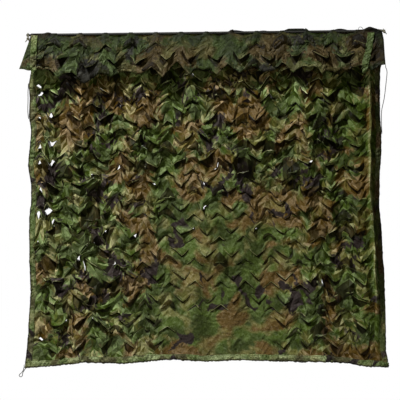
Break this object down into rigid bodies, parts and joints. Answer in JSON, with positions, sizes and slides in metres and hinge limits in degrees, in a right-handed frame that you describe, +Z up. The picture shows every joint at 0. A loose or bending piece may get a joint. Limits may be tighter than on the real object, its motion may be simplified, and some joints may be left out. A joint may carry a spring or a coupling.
{
  "type": "camouflage net on a hanging rod",
  "caption": "Leaf-cut camouflage net hung over a thin rod, its top end falling forward as a short flap, with bound edges, edge cord and corner ties.",
  "frame": {"origin": "centre of the rod's left end face", "axes": "+X along the rod to its right end, seen from the front, +Y to the back, +Z up"},
  "size_m": [1.5593, 0.1007, 1.4723],
  "materials": {
    "camouflage_cloth": "matte printed cloth in green, brown, khaki and near-black",
    "binding_tape": "slightly glossy printed tape",
    "dark_cord": "matte braided cord",
    "khaki_cord": "matte braided cord",
    "dark_wire": "satin coated wire",
    "dark_rod": "satin black"
  },
  "bodies": {
    "root": {"net": "camouflage_cloth", "binding_left": "binding_tape", "binding_right": "binding_tape", "binding_bottom": "binding_tape", "flap_tape_left": "binding_tape", "flap_tape_right": "binding_tape", "edge_cord_left": "dark_cord", "edge_cord_right": "dark_cord", "corner_loop": "khaki_cord", "tie_left": "khaki_cord", "tie_right": "khaki_cord", "twist_tie": "dark_wire", "rod": "dark_rod"}
  },
  "joints": []
}
